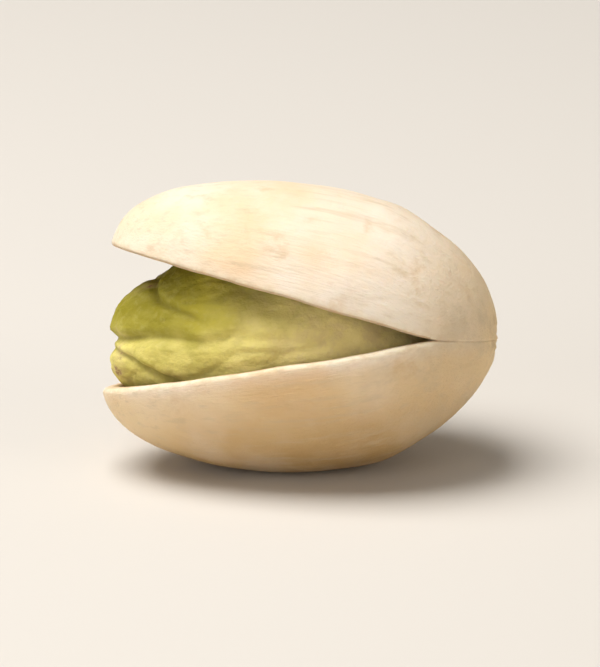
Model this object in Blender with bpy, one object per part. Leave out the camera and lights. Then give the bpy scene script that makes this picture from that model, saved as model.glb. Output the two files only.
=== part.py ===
"""A pistachio in its shell, lying on the belly of one valve.

The shell is one hard piece. It has split along its seam from the tip to near the stem end, and the
two valves have spread like an open beak, still joined at the stem end. The kernel lies loose between
them. Both pieces are shaped in the nut's own frame: X runs from the tip (-X) to the stem end (+X), and
the seam is in the plane z = 0. The nut is then turned to the way it rests, on a small flat spot at z = 0.
"""

import math

import bmesh
import bpy
from mathutils import Matrix, Vector, noise

MM = 0.001

# Shell, as it was before the valves spread. Its tip is a little blunter than an ellipse's, and the upper
# valve is fuller than the lower one towards both ends
SHELL_LENGTH = 20.5 * MM
SHELL_WIDTH = 13.0 * MM
SHELL_DEPTH = 12.0 * MM
WALL = 0.9 * MM
SHELL_BROADER_AT_STEM = 0.16
TIP_BLUNTNESS = 0.08
UPPER_VALVE_FULLNESS = 0.15
SHELL_BEND = 0.35 * MM

# Broad flats and swells on the shell
SWELL_HEIGHT = 0.10 * MM
SWELL_SPACING = 5.0 * MM

# The split: how far its two ends stay from the middle of the nut, and how each valve has turned
SPLIT_END_FRONT = 7.25 * MM
SPLIT_END_BACK = 6.39 * MM
GAPE = math.radians(12.5)
TURN_REACH = 3.8 * MM
LIP_ROUND = 0.22 * MM

# Kernel
KERNEL_LENGTH = 17.8 * MM
KERNEL_WIDTH = 10.3 * MM
KERNEL_DEPTH = 10.4 * MM
KERNEL_MIDDLE_X = -0.75 * MM
KERNEL_BROADER_AT_STEM = 0.12
KERNEL_TILT = math.radians(3.0)
KERNEL_TIP_SLANT = 0.17

# How sharply the kernel tapers to its tip end and its stem end, seen from above and from the side.
# An ellipse has 0, and a blunter end is below it
TAPER_IN_PLAN = (0.35, -0.10)
TAPER_IN_SIDE = (-0.20, 0.15)

# The kernel's skin: the groove between its two halves, furrows that are deepest at the tip end, and lumps
GROOVE_DEPTH = 0.34 * MM
GROOVE_WIDTH = 0.45 * MM
FURROW_DEPTH_AT_TIP = 0.30 * MM
FURROW_DEPTH = 0.14 * MM
FURROW_SPACING = 3.4 * MM
FURROW_STRETCH = 2.2
FURROW_SHARPNESS = 0.10
FURROW_START = Vector((3.1, 1.7, 0.4))
LUMP_HEIGHT = 0.20 * MM
LUMP_SPACING = 2.2 * MM

# How the nut lies
REST_PITCH = math.radians(3.5)
REST_ROLL = math.radians(-15.0)
FLAT_SPOT_DEPTH = 0.16 * MM

SHELL_SEGMENTS, SHELL_RINGS = 64, 24
KERNEL_SEGMENTS, KERNEL_RINGS = 72, 32
ROUNDING = 1e-4


def clear_scene():
    for obj in list(bpy.data.objects):
        bpy.data.objects.remove(obj)


def plain_material(name, colour, roughness):
    material = bpy.data.materials.new(name)
    material.use_nodes = True
    shader = material.node_tree.nodes["Principled BSDF"]
    shader.inputs["Base Color"].default_value = (*colour, 1.0)
    shader.inputs["Roughness"].default_value = roughness
    shader.inputs["Metallic"].default_value = 0.0
    return material


def smoothstep(low, high, value):
    share = min(max((value - low) / (high - low), 0.0), 1.0)
    return share * share * (3.0 - 2.0 * share)


def unit_sphere(segments, rings):
    """A unit sphere with one ring of points in the seam plane, z = 0."""
    mesh = bmesh.new()
    bmesh.ops.create_uvsphere(mesh, u_segments=segments, v_segments=rings, radius=1.0)
    for vert in mesh.verts:
        if abs(vert.co.z) < ROUNDING:
            vert.co.z = 0.0
    return mesh


def egg_point(direction, length, width, depth):
    """The point in a direction of the unit sphere, on an egg-like body that is this wide and deep there."""
    around = math.hypot(direction.y, direction.z)
    size = 1.0 / around if around > ROUNDING else 0.0
    return Vector((
        direction.x * length / 2.0,
        direction.y * size * width / 2.0,
        direction.z * size * depth / 2.0,
    ))


def shell_radius(direction):
    """The shell's thickness in a direction from its middle, as a share of its thickness at the middle."""
    around = math.hypot(direction.y, direction.z)
    towards_tip = (1.0 - direction.x) / 2.0
    upwards = max(direction.z, 0.0) / around if around > ROUNDING else 0.0
    bluntness = TIP_BLUNTNESS * towards_tip**2 + UPPER_VALVE_FULLNESS * upwards**2
    return around ** (1.0 - bluntness) * (1.0 + SHELL_BROADER_AT_STEM * direction.x)


def shell_point(direction, inset):
    """A point of the closed shell, at this distance in from its outside."""
    radius = shell_radius(direction)
    length, width, depth = (size - 2.0 * inset for size in (SHELL_LENGTH, SHELL_WIDTH, SHELL_DEPTH))
    point = egg_point(direction, length, width * radius, depth * radius)
    swell = noise.noise(direction * SHELL_LENGTH / SWELL_SPACING) * SWELL_HEIGHT
    point += Vector((0.0, direction.y, direction.z)) * swell
    point.y += SHELL_BEND * (1.0 - direction.x**2)
    return point


def split_end(y):
    """The split's end, in X, for a point at this Y: it reaches further on the front than on the back."""
    share = y / SHELL_WIDTH + 0.5
    return SPLIT_END_FRONT + (SPLIT_END_BACK - SPLIT_END_FRONT) * share


def opened(point, side):
    """Where a point of the upper (side 1) or lower (side -1) valve is after the valves have spread."""
    pivot = Vector((split_end(point.y), point.y, 0.0))
    distance = pivot.x - point.x
    turn = GAPE * smoothstep(-TURN_REACH, TURN_REACH, distance) * side
    return pivot + Matrix.Rotation(turn, 3, "Y") @ (point - pivot)


def open_seam(mesh):
    """Parts the mesh along its seam, from the tip to the split's two ends, and marks each point's side."""
    seam = []
    for edge in mesh.edges:
        first, last = edge.verts
        split = SPLIT_END_FRONT if first.co.y + last.co.y < 0.0 else SPLIT_END_BACK
        if first.co.z == last.co.z == 0.0 and max(first.co.x, last.co.x) * SHELL_LENGTH / 2.0 <= split:
            seam.append(edge)
    bmesh.ops.split_edges(mesh, edges=seam)
    side = mesh.verts.layers.int.new("side")
    for vert in mesh.verts:
        heights = [face.calc_center_median().z for face in vert.link_faces]
        vert[side] = 1 if min(heights) > 0.0 else -1 if max(heights) < 0.0 else 0
    return side


def round_lips(mesh, lips, side):
    """Rounds the long edges of the lips, up to the last point before the split's ends."""
    edges = {
        edge for lip in lips for edge in lip.edges
        if all(vert[side] for vert in edge.verts) and any(face not in lips for face in edge.link_faces)
    }
    bmesh.ops.bevel(mesh, geom=list(edges), affect="EDGES", offset=LIP_ROUND, segments=2, profile=0.5)


def build_shell():
    """The outside is parted along the seam, and a copy of it further in makes the inside and the lips."""
    mesh = unit_sphere(SHELL_SEGMENTS, SHELL_RINGS)
    side = open_seam(mesh)
    outside, outside_points = set(mesh.faces), set(mesh.verts)
    inside = bmesh.ops.extrude_face_region(mesh, geom=list(outside), use_keep_orig=True)["geom"]
    lips = set(mesh.faces) - outside - set(inside)
    for vert in mesh.verts:
        point = shell_point(vert.co, 0.0 if vert in outside_points else WALL)
        vert.co = opened(point, vert[side]) if vert[side] else point
    bmesh.ops.recalc_face_normals(mesh, faces=mesh.faces)
    round_lips(mesh, lips, side)
    data = bpy.data.meshes.new("shell")
    mesh.to_mesh(data)
    mesh.free()
    return bpy.data.objects.new("shell", data)


def kernel_radius(along, taper):
    """The kernel's thickness along its length, with a taper for its tip end and one for its stem end."""
    around = math.sqrt(max(1.0 - along * along, 0.0))
    at_tip, at_stem = taper
    sharpness = at_tip + (at_stem - at_tip) * (1.0 + along) / 2.0
    return around ** (1.0 + sharpness) * (1.0 + KERNEL_BROADER_AT_STEM * along)


def kernel_relief(point, direction):
    """How far the kernel's surface stands out. Its groove and its furrows fade towards the stem end."""
    lumps = noise.noise(point / LUMP_SPACING) * LUMP_HEIGHT
    stretched = Vector((point.x / FURROW_STRETCH, point.y, point.z)) / FURROW_SPACING
    furrow = math.exp(-((noise.noise(stretched + FURROW_START) / FURROW_SHARPNESS) ** 2))
    depth = FURROW_DEPTH + (FURROW_DEPTH_AT_TIP - FURROW_DEPTH) * smoothstep(0.3, 0.75, -direction.x)
    groove = math.exp(-((point.z / GROOVE_WIDTH) ** 2)) * ((1.0 - direction.x) / 2.0) ** 2
    return lumps - furrow * depth - groove * GROOVE_DEPTH


def build_kernel():
    mesh = unit_sphere(KERNEL_SEGMENTS, KERNEL_RINGS)
    for vert in mesh.verts:
        direction = vert.co.copy()
        width = KERNEL_WIDTH * kernel_radius(direction.x, TAPER_IN_PLAN)
        depth = KERNEL_DEPTH * kernel_radius(direction.x, TAPER_IN_SIDE)
        point = egg_point(direction, KERNEL_LENGTH, width, depth)
        vert.co = point + direction * kernel_relief(point, direction)
        vert.co.x += KERNEL_TIP_SLANT * vert.co.z * (1.0 - direction.x) / 2.0
    bmesh.ops.translate(mesh, verts=mesh.verts, vec=(KERNEL_MIDDLE_X, SHELL_BEND, 0.0))
    pivot = Vector(((SPLIT_END_FRONT + SPLIT_END_BACK) / 2.0, 0.0, 0.0))
    bmesh.ops.rotate(mesh, verts=mesh.verts, cent=pivot, matrix=Matrix.Rotation(-KERNEL_TILT, 3, "Y"))
    data = bpy.data.meshes.new("kernel")
    mesh.to_mesh(data)
    mesh.free()
    return bpy.data.objects.new("kernel", data)


def corners(objects):
    """The lowest and highest corner of some objects, as they now stand in the world."""
    bpy.context.view_layer.update()
    graph = bpy.context.evaluated_depsgraph_get()
    points = []
    for obj in objects:
        evaluated = obj.evaluated_get(graph)
        points += [evaluated.matrix_world @ vert.co for vert in evaluated.to_mesh().vertices]
        evaluated.to_mesh_clear()
    return [Vector(pick(point[axis] for point in points) for axis in range(3)) for pick in (min, max)]


def lay_down(pieces):
    """Turns the nut to the way it rests, with the flat spot's plane at z = 0."""
    nut = bpy.data.objects.new("nut_frame", None)
    bpy.context.scene.collection.objects.link(nut)
    for piece in pieces:
        piece.parent = nut
    nut.rotation_euler = (REST_ROLL, REST_PITCH, 0.0)
    lowest, _ = corners(pieces)
    nut.location.z = -lowest.z - FLAT_SPOT_DEPTH
    return nut


def flatten_spot(shell):
    """Takes off the little of the lower valve that is below z = 0."""
    cutters = bpy.data.collections.new("cutters")
    bpy.context.scene.collection.children.link(cutters)
    bpy.ops.mesh.primitive_cube_add(size=2.0 * SHELL_LENGTH, location=(0.0, 0.0, -SHELL_LENGTH))
    cutter = bpy.context.object
    cutter.name = "below_ground_cutter"
    for collection in list(cutter.users_collection):
        collection.objects.unlink(cutter)
    cutters.objects.link(cutter)
    cutter.hide_render = True
    cutter.display_type = "WIRE"
    cut = shell.modifiers.new("flat spot", "BOOLEAN")
    cut.operation = "DIFFERENCE"
    cut.solver = "EXACT"
    cut.object = cutter


def main():
    clear_scene()
    parts = bpy.data.collections.new("pistachio")
    bpy.context.scene.collection.children.link(parts)
    shell = build_shell()
    kernel = build_kernel()
    shell.data.materials.append(plain_material("shell", (0.80, 0.66, 0.47), 0.55))
    kernel.data.materials.append(plain_material("kernel", (0.42, 0.42, 0.10), 0.5))
    for piece in (shell, kernel):
        parts.objects.link(piece)
        piece.data.shade_smooth()
    nut = lay_down((shell, kernel))
    flatten_spot(shell)
    lowest, highest = corners((shell, kernel))
    nut.location.x -= (lowest.x + highest.x) / 2.0
    nut.location.y -= (lowest.y + highest.y) / 2.0


main()
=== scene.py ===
import math

import bmesh
import bpy
from mathutils import Matrix, Vector, noise


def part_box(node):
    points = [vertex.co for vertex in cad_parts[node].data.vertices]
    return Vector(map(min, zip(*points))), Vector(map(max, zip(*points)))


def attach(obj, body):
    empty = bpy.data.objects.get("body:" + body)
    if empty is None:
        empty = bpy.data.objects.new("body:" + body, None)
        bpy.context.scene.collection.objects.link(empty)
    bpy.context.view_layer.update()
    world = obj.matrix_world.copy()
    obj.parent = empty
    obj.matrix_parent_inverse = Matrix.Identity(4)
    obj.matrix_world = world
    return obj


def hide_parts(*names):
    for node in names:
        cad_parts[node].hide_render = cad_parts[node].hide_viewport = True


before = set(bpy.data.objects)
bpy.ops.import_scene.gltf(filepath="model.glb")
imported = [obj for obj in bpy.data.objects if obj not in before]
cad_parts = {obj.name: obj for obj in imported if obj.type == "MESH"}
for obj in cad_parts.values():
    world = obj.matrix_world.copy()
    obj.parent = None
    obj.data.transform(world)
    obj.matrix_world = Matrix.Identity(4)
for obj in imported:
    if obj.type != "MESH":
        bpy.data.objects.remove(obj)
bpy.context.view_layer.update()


# Shell
# The hard, woody case of a ripe pistachio. It grew as one closed piece, split along its seam from the tip
# to near the stem end as it ripened, and dried with its two valves spread like a beak.
MM = 0.001
SHELL_LENGTH = 20.5 * MM
SHELL_WIDTH = 13.0 * MM
SHELL_DEPTH = 12.0 * MM
WALL = 0.9 * MM
SHELL_BROADER_AT_STEM = 0.16
TIP_BLUNTNESS = 0.08
UPPER_VALVE_FULLNESS = 0.15
SHELL_BEND = 0.35 * MM
SPLIT_END_FRONT = 7.25 * MM
SPLIT_END_BACK = 6.39 * MM
GAPE = math.radians(12.5)
TURN_REACH = 3.8 * MM
JOINED_REACH = 1.5 * MM
REST_PITCH = math.radians(3.5)
REST_ROLL = math.radians(-15.0)
FLAT_SPOT_DEPTH = 0.16 * MM
SHELL_SEGMENTS, SHELL_RINGS = 264, 120
RINGS_CROWD_SEAM = 1.45
ROUNDING = 1e-4

# The lips and the seam
LIP_ROUND = 0.26 * MM
INNER_LIP_ROUND = 0.7 * LIP_ROUND
LIP_COLOUR_REACH = 0.5 * MM
SEAM_GROOVE = 0.05 * MM
SEAM_GROOVE_START = 1.2 * MM
SEAM_WANDER, SEAM_WANDER_REACH = 0.06 * MM, 1.6 * MM
SEAM_WANDER_SPACING, SEAM_WANDER_FINE_SPACING = 2.6 * MM, 0.8 * MM
SEAM_WANDER_FINE_SHARE = 0.35
KEEL_HEIGHT, KEEL_WIDTH = 0.035 * MM, 0.55 * MM

# The relief of the faces. Ribs are spaced by how quickly they change along the shell and round it
SWELL_DEPTH, SWELL_SPACING = 0.07 * MM, 5.0 * MM
BROAD_RIB_DEPTH, BROAD_RIB_CHANGES = 0.045 * MM, (1.2, 3.4)
FINE_RIB_DEPTH, FINE_RIB_CHANGES = 0.016 * MM, (2.6, 11.0)
DENT_DEPTH, DENT_SPACING = 0.026 * MM, 1.9 * MM
DENT_START = Vector((5.0, 0.0, 0.0))
PIT_DEPTH, PIT_SPACING = 0.030 * MM, 0.50 * MM
PIT_FROM, PIT_FULL_FROM = 0.36, 0.60
LINING_WAVE_DEPTH, LINING_WAVE_SPACING = 0.03 * MM, 2.4 * MM

# The scar where the nut hung from its stem
SCAR_RADIUS = 0.95 * MM
SCAR_DEPTH = 0.18 * MM
SCAR_FLATTENING = 1.25
SCAR_FULL_TO, SCAR_OUT_FROM = 0.65, 1.05
SCAR_RAGGED, SCAR_FINE_RAGGED = 0.30, 0.12
SCAR_RAG_SPACING, SCAR_FINE_RAG_SPACING = 0.9 * MM, 0.35 * MM
SCAR_STAIN_SPREAD = 1.1
SCAR_RIM_HEIGHT = 0.07 * MM
FIBRE_HEIGHT, FIBRE_SPACING = 0.08 * MM, 0.30 * MM
PUCKER_COUNT, PUCKER_WAVER, PUCKER_WAVER_SPACING = 11.0, 6.0, 1.5 * MM
PUCKER_HEIGHT, PUCKER_RADIUS, PUCKER_REACH = 0.04 * MM, 1.2 * SCAR_RADIUS, 0.75 * MM
STEM_COLOUR_FROM, STEM_COLOUR_TO = 0.8 * MM, 4.2 * MM


def smoothstep(low, high, value):
    share = min(max((value - low) / (high - low), 0.0), 1.0)
    return share * share * (3.0 - 2.0 * share)


def bell(distance, reach):
    """1 in the middle, and close to 0 from twice the reach outwards."""
    return math.exp(-((distance / reach) ** 2))


def seam_sphere(segments, rings):
    """A unit sphere whose rings crowd towards the seam plane, z = 0."""
    mesh = bmesh.new()
    bmesh.ops.create_uvsphere(mesh, u_segments=segments, v_segments=rings, radius=1.0)
    for vert in mesh.verts:
        latitude = abs(math.asin(max(min(vert.co.z, 1.0), -1.0))) / (math.pi / 2.0)
        crowded = latitude ** RINGS_CROWD_SEAM * math.pi / 2.0
        around = math.hypot(vert.co.x, vert.co.y)
        if latitude < ROUNDING:
            vert.co.z = 0.0
        elif around > ROUNDING:
            outwards = math.cos(crowded) / around
            height = math.copysign(math.sin(crowded), vert.co.z)
            vert.co = (vert.co.x * outwards, vert.co.y * outwards, height)
    return mesh


def egg_point(direction, length, width, depth):
    """The point in a direction of the unit sphere, on an egg-like body that is this wide and deep there."""
    around = math.hypot(direction.y, direction.z)
    size = 1.0 / around if around > ROUNDING else 0.0
    return Vector((
        direction.x * length / 2.0,
        direction.y * size * width / 2.0,
        direction.z * size * depth / 2.0,
    ))


def closed_shell_point(direction, inset):
    """A point of the shell before it split, at this distance in from its outside."""
    around = math.hypot(direction.y, direction.z)
    towards_tip = (1.0 - direction.x) / 2.0
    upwards = max(direction.z, 0.0) / around if around > ROUNDING else 0.0
    bluntness = TIP_BLUNTNESS * towards_tip**2 + UPPER_VALVE_FULLNESS * upwards**2
    radius = around ** (1.0 - bluntness) * (1.0 + SHELL_BROADER_AT_STEM * direction.x)
    length, width, depth = (size - 2.0 * inset for size in (SHELL_LENGTH, SHELL_WIDTH, SHELL_DEPTH))
    point = egg_point(direction, length, width * radius, depth * radius)
    swell = noise.noise(direction * SHELL_LENGTH / SWELL_SPACING) * SWELL_DEPTH
    point += Vector((0.0, direction.y, direction.z)) * swell
    point.y += SHELL_BEND * (1.0 - direction.x**2)
    return point


def split_end(y):
    """How far along the shell its split reaches, at this place across it."""
    share = y / SHELL_WIDTH + 0.5
    return SPLIT_END_FRONT + (SPLIT_END_BACK - SPLIT_END_FRONT) * share


def scar_share(point, spread_out=1.0):
    """How far a point at the stem end is inside the ragged edge of the scar, from 0 to 1."""
    if point.x < 0.0:
        return 0.0
    ragged = 1.0 + SCAR_RAGGED * noise.noise(point / SCAR_RAG_SPACING)
    ragged += SCAR_FINE_RAGGED * noise.noise(point / SCAR_FINE_RAG_SPACING)
    radius = SCAR_RADIUS * spread_out * ragged
    from_middle = math.hypot(point.y - SHELL_BEND, SCAR_FLATTENING * point.z)
    return 1.0 - smoothstep(SCAR_FULL_TO * radius, SCAR_OUT_FROM * radius, from_middle)


def ribs(direction, changes):
    """Soft ribs, which change this quickly along the shell and round it."""
    across = direction.yz.normalized() if direction.yz.length > ROUNDING else direction.yz
    lengthwise, around = changes
    return noise.noise(Vector((direction.x * lengthwise, across.x * around, across.y * around)))


def shell_relief(direction, point):
    """How far the outside stands out: lengthwise ribs, dents, pits, and the puckered scar at the stem."""
    relief = ribs(direction, BROAD_RIB_CHANGES) * BROAD_RIB_DEPTH
    relief += ribs(direction, FINE_RIB_CHANGES) * FINE_RIB_DEPTH
    relief += noise.noise(point / DENT_SPACING + DENT_START) * DENT_DEPTH
    relief -= smoothstep(PIT_FROM, PIT_FULL_FROM, noise.noise(point / PIT_SPACING)) * PIT_DEPTH
    if point.x < 0.0:
        return relief
    scar_here = scar_share(point)
    from_middle = math.hypot(point.y - SHELL_BEND, point.z)
    around_scar = bell(from_middle - PUCKER_RADIUS, PUCKER_REACH)
    angle = math.atan2(point.z, point.y - SHELL_BEND)
    waver = PUCKER_WAVER * noise.noise(point / PUCKER_WAVER_SPACING)
    folds = math.sin(PUCKER_COUNT * angle + waver)
    relief = relief * (1.0 - scar_here) + folds * PUCKER_HEIGHT * around_scar
    relief += around_scar * (1.0 - scar_here) * SCAR_RIM_HEIGHT
    relief += noise.noise(point / FIBRE_SPACING) * FIBRE_HEIGHT * scar_here
    return relief - scar_here * SCAR_DEPTH


def seam_fall(point, height, round_to):
    """How far a face of the wall falls back beside the seam: a rounded lip on the split, a groove past it."""
    past_split = smoothstep(-SEAM_GROOVE_START, SEAM_GROOVE_START, point.x - split_end(point.y))
    reach = round_to + (SEAM_GROOVE - round_to) * past_split
    if height >= reach:
        return 0.0
    return reach - math.sqrt(reach**2 - (reach - height) ** 2)


def lip_share(point, height):
    """How near a point is to the edge of a valve, from 0 to 1, on the split part alone."""
    near_edge = 1.0 - smoothstep(0.0, LIP_COLOUR_REACH, height)
    return near_edge * (1.0 - smoothstep(-LIP_COLOUR_REACH, 0.0, point.x - split_end(point.y)))


def spread(point, side):
    """Where a point of the upper (side 1) or lower (side -1) valve is after the valves have spread."""
    pivot = Vector((split_end(point.y), point.y, 0.0))
    turn = GAPE * smoothstep(-TURN_REACH, TURN_REACH, pivot.x - point.x) * side
    turned = pivot + Matrix.Rotation(turn, 3, "Y") @ (point - pivot)
    # Past the split the valves are still joined, so beside the seam they don't turn into each other
    past_split = max(point.x - pivot.x, 0.0)
    turned.z += past_split * math.sin(turn) * (1.0 - smoothstep(0.0, JOINED_REACH, abs(point.z)))
    return turned


shell_mesh = seam_sphere(SHELL_SEGMENTS, SHELL_RINGS)
seam_edges = []
for edge in shell_mesh.edges:
    first, last = edge.verts
    split = SPLIT_END_FRONT if first.co.y + last.co.y < 0.0 else SPLIT_END_BACK
    if first.co.z == last.co.z == 0.0 and max(first.co.x, last.co.x) * SHELL_LENGTH / 2.0 <= split:
        seam_edges.append(edge)
bmesh.ops.split_edges(shell_mesh, edges=seam_edges)
# The side tells the valves apart. The grain holds each point's direction in the closed shell, and the others
# say for the colours where on the shell a point is
side_of = shell_mesh.verts.layers.int.new("side")
grain = shell_mesh.verts.layers.float_vector.new("grain")
inside = shell_mesh.verts.layers.float.new("inside")
lip = shell_mesh.verts.layers.float.new("lip")
stem = shell_mesh.verts.layers.float.new("stem")
scar = shell_mesh.verts.layers.float.new("scar")
along = shell_mesh.verts.layers.float.new("along")
height_of = shell_mesh.verts.layers.float.new("height")
for vert in shell_mesh.verts:
    heights = [face.calc_center_median().z for face in vert.link_faces]
    vert[side_of] = 1 if min(heights) > 0.0 else -1 if max(heights) < 0.0 else 0
outside_points = set(shell_mesh.verts)
bmesh.ops.extrude_face_region(shell_mesh, geom=shell_mesh.faces[:], use_keep_orig=True)

for vert in shell_mesh.verts:
    direction = vert.co.copy()
    flush = closed_shell_point(direction, 0.0)
    height = abs(flush.z)
    if vert in outside_points:
        point = closed_shell_point(direction, seam_fall(flush, height, LIP_ROUND))
        keel = bell(height, KEEL_WIDTH) * KEEL_HEIGHT
        point += direction * (shell_relief(direction, flush) + keel)
    else:
        point = closed_shell_point(direction, WALL - seam_fall(flush, height, INNER_LIP_ROUND))
        point += direction * noise.noise(flush / LINING_WAVE_SPACING) * LINING_WAVE_DEPTH
    wander = noise.noise(flush / SEAM_WANDER_SPACING)
    wander += SEAM_WANDER_FINE_SHARE * noise.noise(flush / SEAM_WANDER_FINE_SPACING)
    point.z += wander * SEAM_WANDER * (1.0 - smoothstep(0.0, SEAM_WANDER_REACH, height))
    from_axis = math.hypot(flush.y, flush.z) if direction.x > 0.0 else SHELL_WIDTH
    vert[grain] = direction
    vert[inside] = 0.0 if vert in outside_points else 1.0
    vert[lip] = lip_share(point, height)
    vert[stem] = 1.0 - smoothstep(STEM_COLOUR_FROM, STEM_COLOUR_TO, from_axis)
    vert[scar] = scar_share(flush, SCAR_STAIN_SPREAD)
    vert[along] = direction.x
    vert[height_of] = flush.z / MM
    vert.co = spread(point, vert[side_of]) if vert[side_of] else point

bmesh.ops.recalc_face_normals(shell_mesh, faces=shell_mesh.faces)
nut_turn = Matrix.Rotation(REST_PITCH, 3, "Y") @ Matrix.Rotation(REST_ROLL, 3, "X")
bmesh.ops.rotate(shell_mesh, verts=shell_mesh.verts, cent=(0.0, 0.0, 0.0), matrix=nut_turn)

# The nut is set in the middle of the frame's shell and down on the floor, with its belly flattened there
shell_low, shell_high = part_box("shell")
nut_shift = Vector((0.0, 0.0, -FLAT_SPOT_DEPTH - min(vert.co.z for vert in shell_mesh.verts)))
for axis in (0, 1):
    places = [vert.co[axis] for vert in shell_mesh.verts]
    nut_shift[axis] = (shell_low[axis] + shell_high[axis] - min(places) - max(places)) / 2.0
bmesh.ops.translate(shell_mesh, verts=shell_mesh.verts, vec=nut_shift)
for vert in shell_mesh.verts:
    vert.co.z = max(vert.co.z, 0.0)


def smooth_object(name, mesh):
    """Turns a finished bmesh into a smooth object of the scene."""
    data = bpy.data.meshes.new(name)
    mesh.to_mesh(data)
    mesh.free()
    data.shade_smooth()
    made = bpy.data.objects.new(name, data)
    bpy.context.scene.collection.objects.link(made)
    return made


shell = smooth_object("shell_dressed", shell_mesh)

# Where a Mix node keeps its sockets for colours
MIX_SHARE, MIX_FIRST, MIX_SECOND, MIX_RESULT = 0, 6, 7, 2


def node(material, kind, inputs=(), **settings):
    """Adds a node of this kind, with its settings, and links or sets its inputs."""
    made = material.node_tree.nodes.new("ShaderNode" + kind)
    for name, value in settings.items():
        setattr(made, name, value)
    for name, value in dict(inputs).items():
        if isinstance(value, bpy.types.NodeSocket):
            material.node_tree.links.new(value, made.inputs[name])
        else:
            made.inputs[name].default_value = value
    return made


def noise_value(material, vector, scale, detail=3.0, roughness=0.55):
    """A noise pattern, from 0 to 1, whose patches are about a millimetre across at a scale of 1000."""
    inputs = {"Vector": vector, "Scale": scale, "Detail": detail, "Roughness": roughness}
    return node(material, "TexNoise", inputs).outputs["Fac"]


def between(material, value, low, high, to_low=0.0, to_high=1.0):
    """A value's share of the way from low to high, held between to_low and to_high."""
    inputs = {"Value": value, "From Min": low, "From Max": high, "To Min": to_low, "To Max": to_high}
    return node(material, "MapRange", inputs, interpolation_type="SMOOTHSTEP").outputs["Result"]


def times(material, first, second):
    return node(material, "Math", {0: first, 1: second}, operation="MULTIPLY").outputs["Value"]


def mixed(material, share, first, second):
    """A mix of two colours, with this share of the second."""
    made = node(material, "Mix", data_type="RGBA")
    for socket, value in ((MIX_SHARE, share), (MIX_FIRST, first), (MIX_SECOND, second)):
        if isinstance(value, bpy.types.NodeSocket):
            material.node_tree.links.new(value, made.inputs[socket])
        else:
            made.inputs[socket].default_value = value if socket == MIX_SHARE else (*value, 1.0)
    return made.outputs[MIX_RESULT]


def attribute(material, name, output="Fac"):
    return node(material, "Attribute", attribute_name=name).outputs[output]


def mapped(material, vector, **settings):
    """A pattern's coordinates, turned or stretched."""
    return node(material, "Mapping", {"Vector": vector, **settings}).outputs["Vector"]


def bumped(material, height, strength, distance, under=None):
    """A fine relief, on top of the one under it."""
    inputs = {"Height": height, "Strength": strength, "Distance": distance}
    if under is not None:
        inputs["Normal"] = under
    return node(material, "Bump", inputs).outputs["Normal"]


# Colours are given for the upper valve, and with BELOW for the lower one, which is painted browner as shade
CREAM, CREAM_BELOW = (0.83, 0.71, 0.56), (0.74, 0.54, 0.30)
PEACH, PEACH_BELOW = (0.82, 0.62, 0.41), (0.68, 0.46, 0.23)
TIP_CREAM_BELOW = (0.86, 0.68, 0.42)
BELLY_SHADE_BROWN = (0.43, 0.265, 0.095)
CHALK_WHITE = (0.88, 0.81, 0.72)
STREAK_TAN = (0.56, 0.44, 0.29)
STEM_SIDE_TAN = (0.72, 0.54, 0.31)
STEM_PEACH = (0.92, 0.70, 0.40)
GREY_TAN = (0.57, 0.45, 0.30)
STAIN_BROWN = (0.60, 0.40, 0.20)
ROUGH_BROWN = (0.52, 0.36, 0.19)
SCAR_DARK, SCAR_PALE = (0.16, 0.09, 0.04), (0.46, 0.30, 0.15)
LIP_CREAM, LIP_WORN = (0.90, 0.80, 0.61), (0.70, 0.54, 0.34)
EDGE_AND_GAP_SHADE_BROWN = (0.44, 0.27, 0.13)
LINING_DARK, LINING_PALE = (0.36, 0.22, 0.11), (0.62, 0.45, 0.27)
ASKEW = (0.7, 0.5, 0.9)
GRAIN_STRETCH = (1.3, 9.0, 9.0)

shell_finish = bpy.data.materials.new("dried_shell")
shell_finish.use_nodes = True
shell_shader = shell_finish.node_tree.nodes["Principled BSDF"]
place = node(shell_finish, "TexCoord").outputs["Object"]
askew = mapped(shell_finish, place, Rotation=ASKEW)
along_grain = mapped(shell_finish, attribute(shell_finish, "grain", "Vector"), Scale=GRAIN_STRETCH)

# Cream ground with peach clouds, with painted shade that makes the lower valve browner and its belly brown,
# and painted light at the lower valve's tip
# Painted shade: the lower valve's colours are browner than the upper valve's
lower_valve_shade = between(shell_finish, attribute(shell_finish, "height"), -1.2, 0.3, 1.0, 0.0)
ground = mixed(shell_finish, lower_valve_shade, CREAM, CREAM_BELOW)
peach = mixed(shell_finish, lower_valve_shade, PEACH, PEACH_BELOW)
clouds = between(shell_finish, noise_value(shell_finish, askew, 190.0, 4.0), 0.38, 0.68)
colour = mixed(shell_finish, clouds, ground, peach)
# Painted light: the lower valve is painted lighter towards the tip
tip_painted_light = between(shell_finish, attribute(shell_finish, "along"), -0.95, -0.25, 0.55, 0.0)
colour = mixed(shell_finish, times(shell_finish, tip_painted_light, lower_valve_shade), colour, TIP_CREAM_BELOW)
# Painted shade: the belly turns brown towards the bottom
belly_shade = between(shell_finish, attribute(shell_finish, "height"), -5.2, -1.5, 1.0, 0.0)
colour = mixed(shell_finish, times(shell_finish, belly_shade, 0.9), colour, BELLY_SHADE_BROWN)

# Chalk-white clouds, partly the shell's own colour and partly painted light, as they are stronger on the
# upper valve, and tan streaks along the shell
chalk_and_top_light = between(shell_finish, noise_value(shell_finish, askew, 130.0, 3.0), 0.46, 0.72)
# Painted light: the chalk is stronger on the upper valve than on the lower one
chalk_and_top_light = times(shell_finish, chalk_and_top_light, between(shell_finish, lower_valve_shade, 0.0, 1.0, 0.75, 0.3))
colour = mixed(shell_finish, chalk_and_top_light, colour, CHALK_WHITE)
streaks = noise_value(shell_finish, along_grain, 1.6, 5.0, 0.6)
colour = mixed(shell_finish, between(shell_finish, streaks, 0.50, 0.74, 0.0, 0.45), colour, STREAK_TAN)

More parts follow.
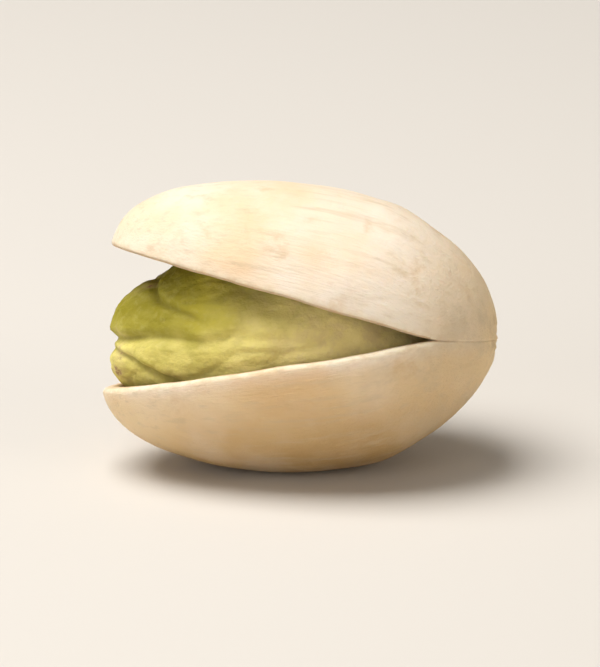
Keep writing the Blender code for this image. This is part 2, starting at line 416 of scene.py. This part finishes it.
# A darker half towards the stem, with grey marks, and stains all over
stem_side = between(shell_finish, attribute(shell_finish, "along"), 0.2, 0.95, 0.0, 0.6)
colour = mixed(shell_finish, stem_side, colour, STEM_SIDE_TAN)
stem_share = attribute(shell_finish, "stem")
colour = mixed(shell_finish, times(shell_finish, stem_share, 0.7), colour, STEM_PEACH)
grey_marks = noise_value(shell_finish, askew, 420.0, 5.0, 0.62)
grey_marks = between(shell_finish, grey_marks, 0.47, 0.66, 0.0, 0.42)
grey_side = between(shell_finish, attribute(shell_finish, "along"), -0.2, 0.75)
colour = mixed(shell_finish, times(shell_finish, grey_marks, grey_side), colour, GREY_TAN)
stains = noise_value(shell_finish, askew, 620.0, 5.0, 0.62)
colour = mixed(shell_finish, between(shell_finish, stains, 0.54, 0.76, 0.0, 0.45), colour, STAIN_BROWN)

# The rough ground round the scar, and the scar
stem_rough = noise_value(shell_finish, askew, 1500.0, 5.0, 0.7)
stem_rough = between(shell_finish, stem_rough, 0.45, 0.65, 0.0, 0.5)
stem_rough = times(shell_finish, stem_rough, between(shell_finish, stem_share, 0.45, 1.0))
colour = mixed(shell_finish, stem_rough, colour, ROUGH_BROWN)
scar_fibres = between(shell_finish, noise_value(shell_finish, place, 2600.0, 4.0), 0.35, 0.65)
scar_brown = mixed(shell_finish, scar_fibres, SCAR_DARK, SCAR_PALE)
colour = mixed(shell_finish, attribute(shell_finish, "scar"), colour, scar_brown)

# Pale worn lips with a brown line along the upper valve's edge, which is partly the edge's own brown and
# partly painted shade of the gap over the kernel, and the brown lining
lip_near = attribute(shell_finish, "lip")
lip_wear = between(shell_finish, noise_value(shell_finish, askew, 1300.0, 5.0, 0.65), 0.35, 0.65)
lip_tone = mixed(shell_finish, lip_wear, LIP_CREAM, LIP_WORN)
colour = mixed(shell_finish, times(shell_finish, lip_near, 0.65), colour, lip_tone)
upper_valve = between(shell_finish, attribute(shell_finish, "height"), -0.02, 0.02)
# Partly painted shade: the brown line is only on the upper valve, where the gap over the kernel is shaded
edge_line_and_gap_shade = times(shell_finish, between(shell_finish, lip_near, 0.78, 0.97, 0.0, 0.62), upper_valve)
colour = mixed(shell_finish, edge_line_and_gap_shade, colour, EDGE_AND_GAP_SHADE_BROWN)
lining = mixed(shell_finish, noise_value(shell_finish, place, 500.0), LINING_DARK, LINING_PALE)
lining_share = between(shell_finish, attribute(shell_finish, "inside"), 0.45, 0.95)
colour = mixed(shell_finish, lining_share, colour, lining)
shell_finish.node_tree.links.new(colour, shell_shader.inputs["Base Color"])

# A dull, slightly waxy surface, with the lengthwise grain and the pores
sheen_spots = between(shell_finish, noise_value(shell_finish, askew, 450.0), 0.3, 0.7, 0.58, 0.74)
shell_finish.node_tree.links.new(sheen_spots, shell_shader.inputs["Roughness"])
shell_shader.inputs["Specular IOR Level"].default_value = 0.35
shell_shader.inputs["Subsurface Weight"].default_value = 0.25
shell_shader.inputs["Subsurface Radius"].default_value = (1.0, 0.62, 0.34)
shell_shader.inputs["Subsurface Scale"].default_value = 0.9 * MM
grain_lines = bumped(shell_finish, noise_value(shell_finish, along_grain, 5.0, 6.0, 0.6), 0.9, 0.06 * MM)
pore_pattern = noise_value(shell_finish, place, 3600.0, 4.0, 0.65)
pores = bumped(shell_finish, pore_pattern, 0.8, 0.03 * MM, grain_lines)
shell_finish.node_tree.links.new(pores, shell_shader.inputs["Normal"])
shell.data.materials.append(shell_finish)
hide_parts("shell")
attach(shell, "root")


# Kernel
# The seed, lying loose between the valves: two green halves grown together, with a groove where they meet,
# wrinkled lengthwise as it dried, and still wearing scraps of its thin pinkish-brown skin.
KERNEL_LENGTH = 17.8 * MM
KERNEL_WIDTH = 10.3 * MM
KERNEL_DEPTH = 10.4 * MM
KERNEL_MIDDLE_X = -0.75 * MM
KERNEL_BROADER_AT_STEM = 0.12
KERNEL_TILT = math.radians(3.0)
KERNEL_TIP_SLANT = 0.17
TAPER_IN_PLAN = (0.35, -0.10)
TAPER_IN_SIDE = (-0.20, 0.15)
KERNEL_SEGMENTS, KERNEL_RINGS = 288, 140

# The groove, the furrows and the wrinkles. A stretch is how much longer than wide they are
GROOVE_DEPTH, GROOVE_WIDTH = 0.42 * MM, 0.30 * MM
GROOVE_WANDER, GROOVE_WANDER_SPACING, GROOVE_START = 0.55 * MM, 2.4 * MM, 3.7
FURROW_DEPTH, FURROW_DEPTH_AT_TIP = 0.07 * MM, 0.30 * MM
TIP_END_FROM, TIP_END_FULL_FROM = 0.3, 0.75
FURROW_SPACING, FURROW_STRETCH, FURROW_WIDTH = 3.4 * MM, 2.2, 0.10
FURROW_START = Vector((3.1, 1.7, 0.4))
SMALL_FURROW_DEPTH = 0.07 * MM
SMALL_FURROW_SPACING, SMALL_FURROW_STRETCH, SMALL_FURROW_WIDTH = 1.3 * MM, 2.6, 0.12
SMALL_FURROW_START = Vector((0.7, 4.4, 2.9))
WRINKLE_STRETCH, WRINKLE_TOP = 2.6, 0.35
WRINKLE_HEIGHT, WRINKLE_SPACING = 0.16 * MM, 0.95 * MM
FINE_WRINKLE_HEIGHT, FINE_WRINKLE_SPACING = 0.07 * MM, 0.42 * MM
WRINKLE_BEND, WRINKLE_BEND_SPACING, WRINKLE_SEED = 0.35 * MM, 1.6 * MM, 7
LUMP_HEIGHT, LUMP_SPACING = 0.20 * MM, 2.2 * MM

# The scraps of skin, which lie where their pattern is over SKIN_FROM. It leans towards the far side, and has
# less on the near side
SKIN_THICKNESS = 0.035 * MM
SKIN_FROM, SKIN_FULL_FROM = 0.08, 0.15
SKIN_CURL, SKIN_CURL_AT, SKIN_CURL_WIDTH = 0.8, 0.16, 0.05
SKIN_STRETCH, SKIN_SPACING, SKIN_START = 1.8, 2.0 * MM, Vector((8.0, 2.0, 5.0))
SKIN_RAGGED, SKIN_RAG_SPACING = 0.26, 0.6 * MM
SKIN_LEAN, SKIN_LACK, SKIN_LACK_IN_FRONT = 0.50, 0.20, 0.35
COLOUR_WANDER, COLOUR_WANDER_SPACING = 0.9, 1.4 * MM


def kernel_radius(along, taper):
    around = math.sqrt(max(1.0 - along * along, 0.0))
    at_tip, at_stem = taper
    sharpness = at_tip + (at_stem - at_tip) * (1.0 + along) / 2.0
    return around ** (1.0 + sharpness) * (1.0 + KERNEL_BROADER_AT_STEM * along)


def drawn_out(point, stretch):
    return Vector((point.x / stretch, point.y, point.z))


def furrows(point, spacing, stretch, width, start):
    """Narrow valleys that run lengthwise, 1 at their bottom."""
    return bell(noise.noise(drawn_out(point, stretch) / spacing + start), width)


def wrinkles(point, spacing):
    """Low crests that run lengthwise, with sharp valleys between them."""
    return min(abs(noise.noise(point / spacing)), WRINKLE_TOP)


# noise_vector, which bends the wrinkles, has to be seeded to give the same bends each run
noise.seed_set(WRINKLE_SEED)
kernel_mesh = bmesh.new()
bmesh.ops.create_uvsphere(kernel_mesh, u_segments=KERNEL_SEGMENTS, v_segments=KERNEL_RINGS, radius=1.0)
crease = kernel_mesh.verts.layers.float.new("crease")
skin = kernel_mesh.verts.layers.float.new("skin")
along = kernel_mesh.verts.layers.float.new("along")
height_of = kernel_mesh.verts.layers.float.new("height")
for vert in kernel_mesh.verts:
    direction = vert.co.copy()
    width = KERNEL_WIDTH * kernel_radius(direction.x, TAPER_IN_PLAN)
    depth = KERNEL_DEPTH * kernel_radius(direction.x, TAPER_IN_SIDE)
    point = egg_point(direction, KERNEL_LENGTH, width, depth)
    tip_end = smoothstep(TIP_END_FROM, TIP_END_FULL_FROM, -direction.x)
    big = furrows(point, FURROW_SPACING, FURROW_STRETCH, FURROW_WIDTH, FURROW_START)
    small = furrows(
        point, SMALL_FURROW_SPACING, SMALL_FURROW_STRETCH, SMALL_FURROW_WIDTH, SMALL_FURROW_START,
    )
    bend = noise.noise_vector(point / WRINKLE_BEND_SPACING) * WRINKLE_BEND
    bent = drawn_out(point + bend, WRINKLE_STRETCH)
    groove_height = noise.noise(Vector((point.x / GROOVE_WANDER_SPACING, 0.0, GROOVE_START))) * GROOVE_WANDER
    groove = bell(point.z - groove_height, GROOVE_WIDTH) * ((1.0 - direction.x) / 2.0) ** 2
    torn = drawn_out(point, SKIN_STRETCH)
    skin_pattern = noise.noise(torn / SKIN_SPACING + SKIN_START) + SKIN_LEAN * direction.y - SKIN_LACK
    skin_pattern -= SKIN_LACK_IN_FRONT * smoothstep(-0.2, 0.5, -direction.y)
    skin_pattern += noise.noise(torn / SKIN_RAG_SPACING) * SKIN_RAGGED
    vert[skin] = skin_pattern
    vert[crease] = max(big * (0.2 + 0.8 * tip_end), 0.5 * small, groove)
    vert[along] = direction.x
    height_wander = noise.noise(point / COLOUR_WANDER_SPACING) * COLOUR_WANDER
    vert[height_of] = (point.z - groove_height) / MM + height_wander

    relief = noise.noise(point / LUMP_SPACING) * LUMP_HEIGHT
    relief += wrinkles(bent, WRINKLE_SPACING) * WRINKLE_HEIGHT
    relief += wrinkles(bent, FINE_WRINKLE_SPACING) * FINE_WRINKLE_HEIGHT
    curled_edge = SKIN_CURL * bell(skin_pattern - SKIN_CURL_AT, SKIN_CURL_WIDTH)
    relief += (smoothstep(SKIN_FROM, SKIN_FULL_FROM, skin_pattern) + curled_edge) * SKIN_THICKNESS
    relief -= big * (FURROW_DEPTH + (FURROW_DEPTH_AT_TIP - FURROW_DEPTH) * tip_end)
    relief -= small * SMALL_FURROW_DEPTH + groove * GROOVE_DEPTH
    vert.co = point + direction * relief
    vert.co.x += KERNEL_TIP_SLANT * vert.co.z * (1.0 - direction.x) / 2.0

# It lies in the shell's middle, tilted about the end of the split, and turned as the whole nut is
bmesh.ops.translate(kernel_mesh, verts=kernel_mesh.verts, vec=(KERNEL_MIDDLE_X, SHELL_BEND, 0.0))
kernel_pivot = ((SPLIT_END_FRONT + SPLIT_END_BACK) / 2.0, 0.0, 0.0)
kernel_turn = Matrix.Rotation(-KERNEL_TILT, 3, "Y")
bmesh.ops.rotate(kernel_mesh, verts=kernel_mesh.verts, cent=kernel_pivot, matrix=kernel_turn)
bmesh.ops.rotate(kernel_mesh, verts=kernel_mesh.verts, cent=(0.0, 0.0, 0.0), matrix=nut_turn)
bmesh.ops.translate(kernel_mesh, verts=kernel_mesh.verts, vec=nut_shift)
kernel = smooth_object("kernel_dressed", kernel_mesh)

# Greens are given for the upper half, painted darker as shade, and with BELOW for the lower one, painted
# lighter as light
DARK_GREEN, DARK_GREEN_BELOW = (0.355, 0.305, 0.020), (0.67, 0.58, 0.145)
LIGHT_GREEN, LIGHT_GREEN_BELOW = (0.51, 0.435, 0.045), (0.83, 0.73, 0.25)
TIP_OLIVE = (0.22, 0.19, 0.008)
FLECK_GREEN = (0.64, 0.56, 0.20)
THREAD_OLIVE = (0.38, 0.33, 0.05)
STEM_END_YELLOW = (0.92, 0.77, 0.34)
FILM_TAN = (0.62, 0.47, 0.25)
CREASE_SHADE_OLIVE = (0.24, 0.20, 0.03)
HAZE_TAN = (0.52, 0.40, 0.17)
SKIN_VEIN, SKIN_BROWN = (0.27, 0.12, 0.07), (0.50, 0.31, 0.18)
SKIN_BLOTCH = (0.60, 0.43, 0.24)
SKIN_EDGE = (0.20, 0.09, 0.05)
THREAD_STRETCH = (0.35, 1.0, 1.0)

kernel_finish = bpy.data.materials.new("green_kernel")
kernel_finish.use_nodes = True
kernel_shader = kernel_finish.node_tree.nodes["Principled BSDF"]
place = node(kernel_finish, "TexCoord").outputs["Object"]
askew = mapped(kernel_finish, place, Rotation=ASKEW)
long_way = mapped(kernel_finish, place, Scale=THREAD_STRETCH)

# Painted shade and light: the upper half is painted as shaded olive, darkest at the tip end, and the lower
# half as a lit, lighter yellow-green
upper_half_shade = between(kernel_finish, attribute(kernel_finish, "height"), -0.9, 1.3)
dark_green = mixed(kernel_finish, upper_half_shade, DARK_GREEN_BELOW, DARK_GREEN)
light_green = mixed(kernel_finish, upper_half_shade, LIGHT_GREEN_BELOW, LIGHT_GREEN)
greens = between(kernel_finish, noise_value(kernel_finish, place, 300.0, 4.0), 0.34, 0.66)
colour = mixed(kernel_finish, greens, dark_green, light_green)
tip_share = between(kernel_finish, attribute(kernel_finish, "along"), -0.72, -0.40, 1.0, 0.0)
tip_share = times(kernel_finish, tip_share, upper_half_shade)
colour = mixed(kernel_finish, times(kernel_finish, tip_share, 0.75), colour, TIP_OLIVE)

# Pale flecks and dark threads in the flesh
flecks = noise_value(kernel_finish, place, 1500.0, 5.0, 0.65)
flecks = between(kernel_finish, flecks, 0.48, 0.70, 0.0, 0.4)
flecks = times(kernel_finish, flecks, between(kernel_finish, upper_half_shade, 0.0, 1.0, 1.0, 0.55))
colour = mixed(kernel_finish, flecks, colour, FLECK_GREEN)
threads = noise_value(kernel_finish, long_way, 1500.0, 5.0, 0.6)
colour = mixed(kernel_finish, between(kernel_finish, threads, 0.40, 0.64, 0.0, 0.42), colour, THREAD_OLIVE)

# A stem end painted yellower, partly its own paler colour and partly painted light where the upper valve
# shades it, under a tan film, and painted shade in the creases
stem_end = between(kernel_finish, attribute(kernel_finish, "along"), -0.6, 0.5)
# Partly painted light: the stem end is lightened where the upper valve shades it
colour = mixed(kernel_finish, times(kernel_finish, stem_end, 0.8), colour, STEM_END_YELLOW)
film = between(kernel_finish, noise_value(kernel_finish, place, 800.0, 5.0, 0.6), 0.46, 0.62, 0.0, 0.5)
colour = mixed(kernel_finish, times(kernel_finish, film, stem_end), colour, FILM_TAN)
# Painted shade: the furrows and the groove are coloured darker
crease_shade = between(kernel_finish, attribute(kernel_finish, "crease"), 0.3, 1.0, 0.0, 0.45)
colour = mixed(kernel_finish, crease_shade, colour, CREASE_SHADE_OLIVE)

# Scraps of skin with frayed, dark edges, and a haze of it round them
frayed = noise_value(kernel_finish, long_way, 1900.0, 6.0, 0.75)
frayed = between(kernel_finish, frayed, 0.2, 0.8, -0.22, 0.22)
skin_field = node(kernel_finish, "Math", {0: attribute(kernel_finish, "skin"), 1: frayed}, operation="ADD")
skin_field = skin_field.outputs["Value"]
skin_share = between(kernel_finish, skin_field, 0.07, 0.17)
skin_edge = times(kernel_finish, skin_share, between(kernel_finish, skin_field, 0.14, 0.28, 1.0, 0.0))
skin_haze = between(kernel_finish, skin_field, -0.25, 0.10, 0.0, 0.40)
colour = mixed(kernel_finish, skin_haze, colour, HAZE_TAN)
veins = between(kernel_finish, noise_value(kernel_finish, long_way, 2300.0, 5.0, 0.65), 0.38, 0.64)
skin_tone = mixed(kernel_finish, veins, SKIN_VEIN, SKIN_BROWN)
blotches = between(kernel_finish, noise_value(kernel_finish, askew, 650.0, 4.0), 0.42, 0.66)
skin_tone = mixed(kernel_finish, times(kernel_finish, blotches, 0.6), skin_tone, SKIN_BLOTCH)
skin_tone = mixed(kernel_finish, times(kernel_finish, skin_edge, 0.55), skin_tone, SKIN_EDGE)
skin_cover = between(kernel_finish, noise_value(kernel_finish, askew, 900.0, 4.0), 0.30, 0.60, 0.65, 0.95)
colour = mixed(kernel_finish, times(kernel_finish, skin_share, skin_cover), colour, skin_tone)
kernel_finish.node_tree.links.new(colour, kernel_shader.inputs["Base Color"])

# Dull, slightly oily flesh with a finely wrinkled surface
kernel_gloss = between(kernel_finish, noise_value(kernel_finish, place, 900.0), 0.3, 0.7, 0.58, 0.74)
kernel_finish.node_tree.links.new(kernel_gloss, kernel_shader.inputs["Roughness"])
kernel_shader.inputs["Specular IOR Level"].default_value = 0.25
kernel_shader.inputs["Subsurface Weight"].default_value = 0.15
kernel_shader.inputs["Subsurface Radius"].default_value = (0.8, 1.0, 0.25)
kernel_shader.inputs["Subsurface Scale"].default_value = 0.8 * MM
flesh = bumped(kernel_finish, noise_value(kernel_finish, place, 1900.0, 6.0, 0.62), 1.0, 0.12 * MM)
fine_pattern = noise_value(kernel_finish, long_way, 3000.0, 4.0, 0.6)
fine_wrinkles = bumped(kernel_finish, fine_pattern, 0.8, 0.07 * MM, flesh)
kernel_finish.node_tree.links.new(fine_wrinkles, kernel_shader.inputs["Normal"])
kernel.data.materials.append(kernel_finish)
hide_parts("kernel")
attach(kernel, "root")


# Floor
# A plain pale sheet that the nut lies on, wide enough to fill the view behind it.
FLOOR_REACH = 1.0
FLOOR_MIDDLE = (0.0, 0.5, -0.01 * MM)
FLOOR_COLOUR = (0.64, 0.61, 0.57, 1.0)

floor_mesh = bmesh.new()
bmesh.ops.create_grid(floor_mesh, x_segments=1, y_segments=1, size=FLOOR_REACH)
bmesh.ops.translate(floor_mesh, verts=floor_mesh.verts, vec=FLOOR_MIDDLE)
floor = smooth_object("floor", floor_mesh)
floor_finish = bpy.data.materials.new("pale_sheet")
floor_finish.use_nodes = True
floor_shader = floor_finish.node_tree.nodes["Principled BSDF"]
floor_shader.inputs["Base Color"].default_value = FLOOR_COLOUR
floor_shader.inputs["Roughness"].default_value = 0.85
floor.data.materials.append(floor_finish)


# Light and camera
# Soft daylight all round, a large key lamp above on the left, a weak fill lamp at the front and a warm one
# on the right. A long lens looks slightly down on the nut.
CAMERA_ELEVATION = math.radians(18.0)
CAMERA_DISTANCE = 0.45
VIEW_WIDTH = 31.0 * MM
IMAGE_WIDTH, IMAGE_HEIGHT = 600.0, 667.0
SENSOR = 36.0
LOOK_AT = Vector((0.0, 0.0, 6.9 * MM))
SKY_COLOUR, SKY_STRENGTH = (1.0, 0.99, 0.97, 1.0), 0.18


def area_lamp(name, place, size, power, colour):
    """A square lamp that is turned towards the nut."""
    data = bpy.data.lights.new(name, "AREA")
    data.size = size
    data.energy = power
    data.color = colour
    lamp = bpy.data.objects.new(name, data)
    lamp.location = place
    lamp.rotation_euler = (LOOK_AT - Vector(place)).to_track_quat("-Z", "Y").to_euler()
    bpy.context.scene.collection.objects.link(lamp)


area_lamp("key", (-0.11, 0.0, 0.30), 0.22, 1.40, (1.0, 0.97, 0.93))
area_lamp("fill", (-0.24, -0.26, 0.10), 0.24, 0.34, (1.0, 0.98, 0.95))
area_lamp("side", (0.30, -0.20, 0.14), 0.20, 0.29, (1.0, 0.88, 0.71))

sky = bpy.data.worlds.new("studio")
bpy.context.scene.world = sky
sky.use_nodes = True
sky.node_tree.nodes["Background"].inputs["Color"].default_value = SKY_COLOUR
sky.node_tree.nodes["Background"].inputs["Strength"].default_value = SKY_STRENGTH
bpy.context.scene.view_settings.view_transform = "Standard"

# The image is higher than it is wide, so the sensor's size goes with the image's height
camera_data = bpy.data.cameras.new("camera")
camera_data.sensor_width = SENSOR
camera_data.lens = CAMERA_DISTANCE * SENSOR * (IMAGE_WIDTH / IMAGE_HEIGHT) / VIEW_WIDTH
camera_data.clip_start = 0.01
camera = bpy.data.objects.new("camera", camera_data)
towards_camera = Vector((0.0, -math.cos(CAMERA_ELEVATION), math.sin(CAMERA_ELEVATION)))
camera.location = LOOK_AT + towards_camera * CAMERA_DISTANCE
camera.rotation_euler = (-towards_camera).to_track_quat("-Z", "Y").to_euler()
bpy.context.scene.collection.objects.link(camera)
bpy.context.scene.camera = camera
